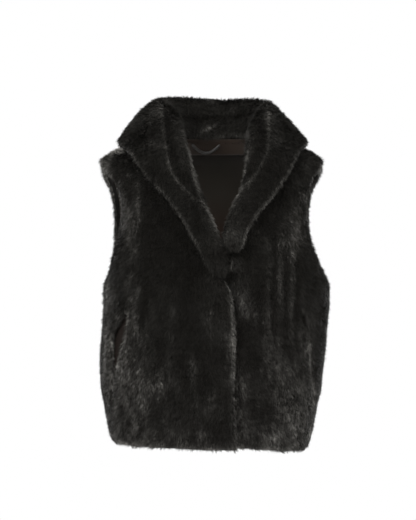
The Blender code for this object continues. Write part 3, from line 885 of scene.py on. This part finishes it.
    def strands(self, roots: Array, normals: Array, tone: Array, panel: "FurPanel") -> tuple[Array, Array]:
        """Shape each strand as a narrow blade of three points.

        Args:
            roots: where strands grow.
            normals: the backing's normals there.
            tone: the light and shade painted into the pile there.
            panel: the panel, with how its pile is brushed, its flare and how much tones differ from strand to
                strand.

        Returns:
            The blades' points, three to a strand, and each strand's step on the ladder of tones.
        """
        random = np.random.default_rng(panel.seed + 1)
        count = len(roots)
        leader = self.tufts(roots, random)
        turn = self.swirl * self.swirls.at(roots) + random.normal(0, self.spread, count)
        turn += random.normal(0, self.tuft_turn, count)[leader]
        lean = self.lean + self.ruffle * self.ruffles.at(roots) + random.normal(0, self.stray, count)
        lean += random.normal(0, self.tuft_lean, count)[leader]
        lean += self.tone_lean * np.clip(tone - self.base_tone, -self.tone_lean_steps, self.tone_lean_steps)
        length = self.length * random.uniform(*self.lengths, count) * (1 + self.ragged * self.rags.at(roots))
        for place in panel.light_and_brushing:
            weight = place.weight(roots)
            turn += place.turn * weight
            lean += place.lean * weight
            length *= 1 + place.fluff * weight
        along = self.nap(roots, normals, panel.flare)
        across = np.cross(normals, along)
        turn, lean = np.radians(turn)[:, None], np.radians(np.clip(lean, *self.lean_limits))[:, None]
        lying = np.cos(turn) * along + np.sin(turn) * across
        tips = roots + length[:, None] * (np.cos(lean) * normals + np.sin(lean) * lying)
        pull = (self.tuft_pull * random.uniform(*self.tuft_pulls, count))[:, None]
        tips += pull * (tips[leader] - tips)
        way = unit(tips - roots)
        flat = unit(np.cross(way, normals))
        twist = random.normal(0, self.twist, count)[:, None]
        broad = np.cos(twist) * flat + np.sin(twist) * np.cross(way, flat)
        broad *= (self.width / 2 * random.uniform(*self.widths, count))[:, None]
        blades = np.stack((roots - broad, roots + broad, tips), axis=1)
        varied = random.normal(0, self.tone_scatter, count) + random.normal(0, self.tuft_tone, count)[leader]
        step = tone + panel.grain * self.liveliness(np.minimum(tone, self.base_tone + 1)) * varied
        return blades, np.clip(np.rint(step), 0, len(PILE_LIT_AND_SHADED_TONES) - 1).astype(np.int32)

    def tufts(self, roots: Array, random: np.random.Generator) -> Array:
        """Group neighbouring strands into tufts.

        Args:
            roots: where strands grow.
            random: for the choice of the strands that lead.

        Returns:
            For each strand, the index of the strand that leads its tuft.
        """
        leaders = np.flatnonzero(random.random(len(roots)) < self.tuft_share)
        tree = point_tree(roots[leaders])
        return leaders[[tree.find(place)[1] for place in roots.tolist()]]

    def mesh(self, name: str, blades: Array, steps: Array) -> bpy.types.Mesh:
        """Join blades into one mesh, each with its own shade.

        Args:
            name: the mesh's name.
            blades: three points to a strand.
            steps: each strand's step on the ladder of tones.

        Returns:
            The joined mesh.
        """
        count = len(blades)
        mesh = bpy.data.meshes.new(name)
        mesh.vertices.add(count * 3)
        mesh.vertices.foreach_set("co", blades.astype(np.float32).ravel())
        mesh.loops.add(count * 3)
        mesh.loops.foreach_set("vertex_index", np.arange(count * 3, dtype=np.int32))
        mesh.polygons.add(count)
        mesh.polygons.foreach_set("loop_start", np.arange(count, dtype=np.int32) * 3)
        mesh.polygons.foreach_set("material_index", steps)
        mesh.update(calc_edges=True)
        return mesh


@dataclass
class FurPanel:
    """One cut of fur: a backing cloth on its solid's form, and the pile that stands on it."""

    node: str
    cut: Cut
    flat: tuple[float, float]
    area: float
    seed: int
    light_and_brushing: tuple[PaintedLightAndBrushing, ...] = ()
    ripples: tuple[Ripple, ...] = ()
    grooves_and_painted_light: tuple[GrooveAndPaintedLight, ...] = ()
    nudges: tuple[Nudge, ...] = ()
    pile_depth: float = 5.0 * MM
    wall_share: float = 0.6
    wall_reach: float = 20.0 * MM
    wall_start_mm: float = 0.3
    flare: float = 0.35
    seam_start: float = 0.05 * MM
    seam_reach: float = 0.7 * MM
    seam_lap: float = 0.4 * MM
    clear: float = 1.2 * MM
    under_start: float = 1.5 * MM
    under_reach: float = 60.0 * MM
    open_least: float = 0.15
    arm_beside: float = 150.0 * MM
    arm_top: float = -35.0 * MM
    arm_bottom: float = -195.0 * MM
    pocket_turned: float = 0.3
    neck_seam_ease: float = 24.0 * MM
    neck_seam_share: float = 0.2
    shoulder_share: float = 0.35
    fan: int = 24
    mottle: float = 1.0
    grain: float = 1.0
    tone: float = 0.0
    inside_below: float = -0.25
    levels: int = 1

    def back_cloth(self, finishes: list[Material]) -> Piece:
        """Make the backing: a copy of the solid, let in by the pile's height on its pile side.

        Args:
            finishes: the materials of the pile side, inside, seams, underside and turned-in edges.

        Returns:
            The backing, as a closed shell.
        """
        self.shell = welded_copy(self.node + "_backing", self.node, finishes)
        self.mark_sides()
        divide(self.shell, self.levels)
        self.let_in()
        return self.shell

    def mark_sides(self) -> None:
        """Tell seam edges, the inside of a body panel and the underside of the collar from the pile side."""
        mesh = self.shell.data
        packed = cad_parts
        neighbours = cloth_tree([packed[panel.node] for panel in FUR_PANELS if panel.node != self.node])
        bodies = [packed[panel.node] for panel in FUR_PANELS if panel.cut is Cut.BODY]
        beneath = cloth_tree([packed[self.node], *bodies])
        sides = np.full(len(mesh.polygons), Side.PILE, np.int32)
        for face in mesh.polygons:
            start = face.center + face.normal * self.seam_start
            if neighbours.ray_cast(start, face.normal, self.seam_reach)[0] is not None:
                sides[face.index] = Side.SEAM
            elif self.cut is Cut.BODY:
                outward = Vector(body_outward(np.array([face.center]))[0])
                if outward.dot(face.normal) < self.inside_below:
                    sides[face.index] = Side.INSIDE
            elif self.openness(face, beneath) < self.open_least:
                sides[face.index] = Side.UNDER
        self.turn_in(sides)
        mesh.polygons.foreach_set("material_index", sides)
        self.crease_seams(sides)

    def turn_in(self, sides: Array) -> None:
        """Carry the fur round the edges of the armholes and the pocket mouths, one row of faces in.

        Args:
            sides: what each face carries, changed in place.
        """
        mesh = self.shell.data
        edge = {index for face in mesh.polygons if sides[face.index] == Side.PILE for index in face.vertices}
        centres = np.array([face.center for face in mesh.polygons])
        turned = np.abs(centres[:, 0]) > self.arm_beside
        turned &= (self.arm_bottom < centres[:, 2]) & (centres[:, 2] < self.arm_top)
        for line in POCKETS:
            turned |= (line_weight(centres, line, POCKET_EASE) > self.pocket_turned) & (centres[:, 1] < 0)
        for face in mesh.polygons:
            if sides[face.index] == Side.INSIDE and turned[face.index] and edge.intersection(face.vertices):
                sides[face.index] = Side.TURNED

    def openness(self, face: bpy.types.MeshPolygon, beneath: BVHTree) -> float:
        """How much of the view from a face is free of other cloth nearby.

        Args:
            face: a face of the panel.
            beneath: what may lie close over the face.

        Returns:
            The free share of a fan of rays, from 0 to 1.
        """
        start = face.center + face.normal * self.under_start
        turn = face.normal.to_track_quat("Z", "Y")
        free = 0
        for index in range(self.fan):
            rise = math.sqrt((index + 0.5) / self.fan)
            angle = index * GOLDEN_ANGLE
            way = turn @ Vector((rise * math.cos(angle), rise * math.sin(angle), math.sqrt(1 - rise * rise)))
            free += beneath.ray_cast(start, way, self.under_reach)[0] is None
        return free / self.fan

    def crease_seams(self, sides: Array) -> None:
        """Keep the edges of seams where they are when the shell is smoothed.

        Args:
            sides: what each face carries.
        """
        mesh = self.shell.data
        touched: dict[tuple[int, int], set[bool]] = {}
        for face in mesh.polygons:
            for key in face.edge_keys:
                touched.setdefault(key, set()).add(bool(sides[face.index] == Side.SEAM))
        crease = mesh.attributes.new("crease_edge", "FLOAT", "EDGE")
        crease.data.foreach_set("value", [float(len(touched[edge.key]) == 2) for edge in mesh.edges])

    def let_in(self) -> None:
        """Move the pile side in, so that the pile ends where the solid does, and close the seams."""
        surface = Surface.of(self.shell)
        outward = surface.facing(Side.PILE)
        pile = outward.any(1)
        pile[surface.corners[surface.sides == Side.INSIDE].ravel()] = False
        tree = BVHTree.FromPolygons(surface.points.tolist(), surface.corners.tolist())
        walls = np.full(len(surface.points), self.wall_reach)
        for index in np.flatnonzero(pile):
            point, normal = Vector(surface.points[index]), Vector(outward[index])
            distance = tree.ray_cast(point - normal * self.wall_start_mm * MM, -normal, self.wall_reach)[3]
            if distance is not None:
                walls[index] = distance
        depth = self.pile_depth * self.settling(surface.points) - rippled(surface.points, self.ripples)
        for groove in self.grooves_and_painted_light:
            depth += groove.depth * MM * groove.weight(surface.points, outward)
        depth = np.minimum(depth, self.wall_share * walls) * pile
        moved = surface.points - outward * depth[:, None]
        moved += surface.facing(Side.SEAM) * self.seam_lap
        moved += sum((nudge.shift(surface.points) for nudge in self.nudges), np.zeros_like(moved))
        if self.cut is Cut.BODY:
            moved[:, 2] += hem_shift(moved)
        move_points(self.shell, moved)

    def settling(self, points: Array) -> Array:
        """How much of the pile's height a place is let in by: less on shoulders, pockets and the neck seam.

        Args:
            points: places on the panel.

        Returns:
            A share from 0 to 1 for each place.
        """
        if self.cut is Cut.COLLAR:
            return np.maximum(ramp(np.abs(points[:, 0]), 0.0, self.neck_seam_ease), self.neck_seam_share)
        high = ramp(points[:, 2] / MM, *SHOULDER_RISE)
        wide = ramp(np.abs(points[:, 0]) / MM, *SHOULDER_REACH)
        pockets = [line_weight(points, line, POCKET_EASE) for line in POCKETS]
        return (1 - self.shoulder_share * high * wide) * (1 - np.maximum(*pockets))

    def grow(self, pile: Pile, others: BVHTree, finishes: list[Material]) -> list[Piece]:
        """Grow the pile on the backing.

        Args:
            pile: the kind of pile.
            others: every cloth's surface.
            finishes: the pile's shades.

        Returns:
            The pile's pieces, each small enough to store.
        """
        surface = Surface.of(self.shell)
        roots, normals, bends = pile.root(surface, self, others)
        tone = self.tone + pile.light(roots, normals, bends, surface.border(), self)
        # Painted highlight on ridges and painted shade in troughs.
        tone += pile.ripple_light_and_shade * rippled(roots, self.ripples) / MM
        # Painted highlight or shade along each line, by its tone.
        for groove in self.grooves_and_painted_light:
            tone += groove.tone * groove.weight(roots, normals)
        blades, steps = pile.strands(roots, normals, tone, self)
        parts = math.ceil(len(roots) / pile.most_strands)
        order = np.array_split(np.argsort(roots[:, 0], kind="stable"), parts)
        self.pieces = []
        for index, chosen in enumerate(order):
            name = f"{self.node}_pile" if parts == 1 else f"{self.node}_pile_{index + 1}"
            self.pieces.append(new_object(name, pile.mesh(name, blades[chosen], steps[chosen]), finishes))
        return self.pieces

    def declare(self) -> None:
        """Attach the panel's backing and pile to the body, and hide the solid they replace."""
        for piece in (self.shell, *self.pieces):
            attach(piece, BODY)
        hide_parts(self.node)


@dataclass
class SatinPiece:
    """A piece of satin on its solid's form: lining, facing, pocket bag, or a strip too narrow for a sheet."""

    node: str
    finish: Finish
    slot: str
    flat: tuple[float, float] | None = None
    area: float = 0.0
    kind: str = "satin"
    ripples: tuple[Ripple, ...] = ()
    fullness: float = 0.0
    tuck: float = 0.0
    lap: float = 0.0
    forward: float = 0.0
    levels: int = 2

    def build(self) -> Piece:
        """Make the piece with its soft creases.

        Returns:
            The finished piece.
        """
        self.shell = welded_copy(f"{self.node}_{self.kind}", self.node, [self.finish.material()])
        divide(self.shell, self.levels)
        surface = Surface.of(self.shell)
        raised = rippled(surface.points, self.ripples)
        moved = surface.points - body_outward(surface.points) * raised[:, None]
        moved += surface.normals * self.fullness
        low, high = moved[:, 2].min(), moved[:, 2].max()
        share = (moved[:, 2] - low) / (high - low)
        moved[:, 2] += self.tuck * share - self.lap * (1 - share)
        moved[:, 1] -= self.forward
        move_points(self.shell, moved)
        return self.shell

    def declare(self) -> None:
        """Attach the piece to the body, and hide the solid it replaces."""
        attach(self.shell, BODY)
        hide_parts(self.node)


@dataclass(frozen=True)
class Lamp:
    """A soft studio light, aimed at the gilet."""

    name: str
    place: tuple[float, float, float]
    size: float
    power: float
    colour: Colour = WHITE

    def hang(self, target: Vector) -> Piece:
        """Put the light up.

        Args:
            target: what it is aimed at.

        Returns:
            The light.
        """
        data = bpy.data.lights.new(self.name, "AREA")
        data.shape = "DISK"
        data.size = self.size
        data.energy = self.power
        data.color = self.colour
        lamp = bpy.data.objects.new(self.name, data)
        lamp.location = self.place
        lamp.rotation_euler = (target - Vector(self.place)).to_track_quat("-Z", "Y").to_euler()
        bpy.context.scene.collection.objects.link(lamp)
        return lamp


LAMPS = (
    Lamp("key", (-2.1, -1.9, 1.5), 1.3, 250.0),
    Lamp("fill", (2.3, -1.2, 0.7), 1.3, 180.0),
    Lamp("front", (0.2, -3.6, 1.2), 1.6, 50.0),
    Lamp("back_right", (-1.9, 2.3, 1.1), 1.3, 150.0),
    Lamp("back_left", (1.9, 2.3, 0.9), 1.3, 130.0),
)


@dataclass
class Studio:
    """The plain pale floor, the soft light and the camera."""

    floor_height: float = -1.36
    floor_size: float = 6.0
    sky_light: float = 1.2
    sky_seen: float = 1.0
    distance: float = 4.5
    middle: tuple[float, float] = (-0.0072, -0.2016)
    frame_height: float = 0.936
    sensor: float = 24.0

    def build(self) -> None:
        """Lay the floor, light it and place the camera."""
        bpy.ops.object.select_all(action="DESELECT")
        bpy.ops.mesh.primitive_plane_add(size=self.floor_size, location=(0, 0, self.floor_height))
        floor = bpy.context.active_object
        floor.name = "floor"
        floor.data.materials.append(PALE_FLOOR.material())
        target = Vector((self.middle[0], 0.0, self.middle[1]))
        for lamp in LAMPS:
            lamp.hang(target)
        self.light_sky()
        bpy.context.scene.view_settings.view_transform = "Standard"
        self.place_camera(target)

    def light_sky(self) -> None:
        """Surround the stage with soft white that is seen brighter than it lights."""
        world = bpy.data.worlds.new("studio")
        world.use_nodes = True
        nodes = world.node_tree.nodes
        lit, seen = nodes["Background"], nodes.new("ShaderNodeBackground")
        for sky, strength in ((lit, self.sky_light), (seen, self.sky_seen)):
            fill(sky, {"Color": (*WHITE, 1.0), "Strength": strength})
        choice = nodes.new("ShaderNodeMixShader")
        join(
            world.node_tree,
            (nodes.new("ShaderNodeLightPath"), "Is Camera Ray", choice, "Fac"),
            (lit, "Background", choice, 1),
            (seen, "Background", choice, 2),
            (choice, "Shader", nodes["World Output"], "Surface"),
        )
        bpy.context.scene.world = world

    def place_camera(self, target: Vector) -> None:
        """Stand the camera straight before the gilet, as in the photograph.

        Args:
            target: the middle of the frame, at the shoulders' depth.
        """
        data = bpy.data.cameras.new("camera")
        data.sensor_fit = "VERTICAL"
        data.sensor_height = self.sensor
        data.lens = self.sensor * self.distance / self.frame_height
        camera = bpy.data.objects.new("camera", data)
        camera.location = target - Vector((0.0, self.distance, 0.0))
        camera.rotation_euler = (math.pi / 2, 0.0, 0.0)
        bpy.context.scene.collection.objects.link(camera)
        bpy.context.scene.camera = camera


SHOULDER_RIGHT = Nudge(((-190, -40, 1.0), (-187, -54, 1.0)), 12, (-5, 0, 0))
SHOULDER_LEFT = Nudge(((192, -40, 1.0), (189, -54, 1.0)), 12, (4, 0, 0))
RIGHT_NUDGES = (
    SHOULDER_RIGHT,
    Nudge(
        (
            (-186, -46, 0.0), (-182, -66, 0.6), (-178, -104, 1.0),
            (-178, -130, 1.0), (-178, -160, 0.8), (-182, -190, 0.0),
        ),
        20, (10, 0, 0),
    ),
    Nudge(((-170, -302, 0.6), (-174, -322, 1.0), (-178, -345, 0.9), (-184, -372, 0.0)), 12, (-9, 9, 0)),
    Nudge(((-178, -372, 0.0), (-184, -395, 1.0), (-188, -420, 1.0)), 9, (6, -3, 0)),
)
RIGHT_COLLAR_NUDGES = (
    Nudge(
        ((-56, 20, 0.5), (-46, -5, 0.9), (-34, -43, 1.1), (-18, -83, 1.1), (0, -119, 1.0), (12, -150, 0.3)),
        16, (-12, 0, 2),
    ),
    Nudge(((-52, -130, 0.0), (-32, -160, 1.0), (-16, -195, 0.9), (-2, -225, 0.0)), 14, (-5, 0, 0)),
    Nudge(((20, -165, 0.0), (24, -190, 1.0), (30, -215, 1.0), (34, -232, 0.5)), 12, (6, 0, 0)),
    Nudge(((0, -246, 1.0), (36, -246, 1.0)), 26, (0, 24, -3)),
    Nudge(((-168, 0, 1.0), (-158, 2, 1.0)), 12, (1, -2, -9)),
    Nudge(((-152, 38, 0.8), (-130, 64, 1.0), (-114, 82, 0.5)), 18, (-6, 0, 2)),
)
LEFT_COLLAR_NUDGES = (
    Nudge(((60, -10, 0.3), (55, -43, 0.6), (47, -73, 0.5), (36, -100, 0.0)), 16, (12, 0, 0)),
    Nudge(((24, -158, 0.6), (28, -172, 1.0), (32, -184, 1.0)), 10, (-10, 0, -2)),
    Nudge(((170, 0, 1.0), (160, 2, 1.0)), 12, (0, -2, -10)),
    Nudge(((116, 90, 0.8), (136, 74, 1.0), (150, 54, 0.3)), 16, (-5, 0, -2)),
)
COLLAR_PILE = {"mottle": 0.45, "grain": 0.6, "tone": 0.4, "wall_share": 0.42, "flare": 0.12}
FUR_PANELS = (
    FurPanel(
        "back", Cut.BODY, (0.60, 0.58), 0.27, 100, BACK_LIGHT_AND_BRUSHING + SIDE_LIGHT_AND_BRUSHING, BACK_RIPPLES,
        nudges=(SHOULDER_RIGHT, SHOULDER_LEFT),
    ),
    FurPanel(
        "front_right", Cut.BODY, (0.34, 0.57), 0.15, 200, RIGHT_LIGHT_AND_BRUSHING + SIDE_LIGHT_AND_BRUSHING, RIGHT_RIPPLES,
        (RIGHT_ARM, RIGHT_MOUTH, RIGHT_BAND, FRONT_EDGE, HEM_EDGE), RIGHT_NUDGES,
    ),
    FurPanel(
        "front_left", Cut.BODY, (0.34, 0.57), 0.15, 300, LEFT_LIGHT_AND_BRUSHING + SIDE_LIGHT_AND_BRUSHING, LEFT_RIPPLES,
        (LEFT_ARM, LEFT_MOUTH, HEM_EDGE), (SHOULDER_LEFT,),
    ),
    FurPanel(
        "collar_right", Cut.COLLAR, (0.20, 0.46), 0.065, 400, COLLAR_LIGHT_AND_BRUSHING,
        grooves_and_painted_light=(RIGHT_ROLL, RIGHT_TUBE, RIGHT_LIP, RIGHT_NECK_ROLL, NECK_SEAM, NECK_TUFT),
        nudges=RIGHT_COLLAR_NUDGES, **COLLAR_PILE,
    ),
    FurPanel(
        "collar_left", Cut.COLLAR, (0.20, 0.42), 0.060, 500, COLLAR_LIGHT_AND_BRUSHING,
        grooves_and_painted_light=(LEFT_ROLL, LEFT_TUBE, LEFT_LIP, LEFT_NECK_ROLL, NECK_SEAM, NECK_TUFT),
        nudges=LEFT_COLLAR_NUDGES, **COLLAR_PILE,
    ),
)
LINING_RIPPLES = rows(
    Ripple,
    (-24, -30, -30, -200, 9, 0.8), (30, -40, 34, -240, 10, 0.9), (4, -90, 2, -300, 8, 0.7),
    (-90, -100, -84, -420, 14, 1.0), (96, -120, 90, -440, 14, 1.0),
)
SATIN_PIECES = (
    SatinPiece("lining_back", LINING, "satin_lining", (0.56, 0.53), 0.24, ripples=LINING_RIPPLES),
    SatinPiece(
        "neck_facing", FACING, "satin_facing", (0.24, 0.03), 0.005, tuck=9 * MM, lap=3 * MM, forward=4 * MM
    ),
    SatinPiece("pocket_right", POCKET_SATIN_IN_SHADE, "satin_lining", (0.14, 0.21), 0.025),
    SatinPiece("pocket_left", POCKET_SATIN_IN_SHADE, "satin_lining", (0.14, 0.21), 0.025),
)
HANGER_LOOP = SatinPiece("hanger_loop", LOOP, "satin_lining", kind="strip", fullness=0.6 * MM, levels=1)


def main() -> None:
    """Build every piece in order, attach each to the body and log it, and set the stage."""
    logging.basicConfig(level=logging.INFO, format="%(name)s: %(message)s")
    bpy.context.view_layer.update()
    satin = [piece.build() for piece in SATIN_PIECES]
    HANGER_LOOP.build()
    backing, inside = BACKING.material(), INSIDE.material()
    shells = [panel.back_cloth([backing, inside, backing, backing, backing]) for panel in FUR_PANELS]
    surfaces = cloth_tree(shells + satin)
    pile, shades = Pile(), [tone.material() for tone in PILE_LIT_AND_SHADED_TONES]
    for panel in FUR_PANELS:
        made = panel.grow(pile, surfaces, shades)
        panel.declare()
        LOG.info("%s: %s", panel.node, [(piece.name, len(piece.data.polygons)) for piece in made])
    for piece in (*SATIN_PIECES, HANGER_LOOP):
        piece.declare()
        LOG.info("%s", piece.node)
    Studio().build()
    bpy.context.view_layer.update()


if __name__ == "__main__":
    main()
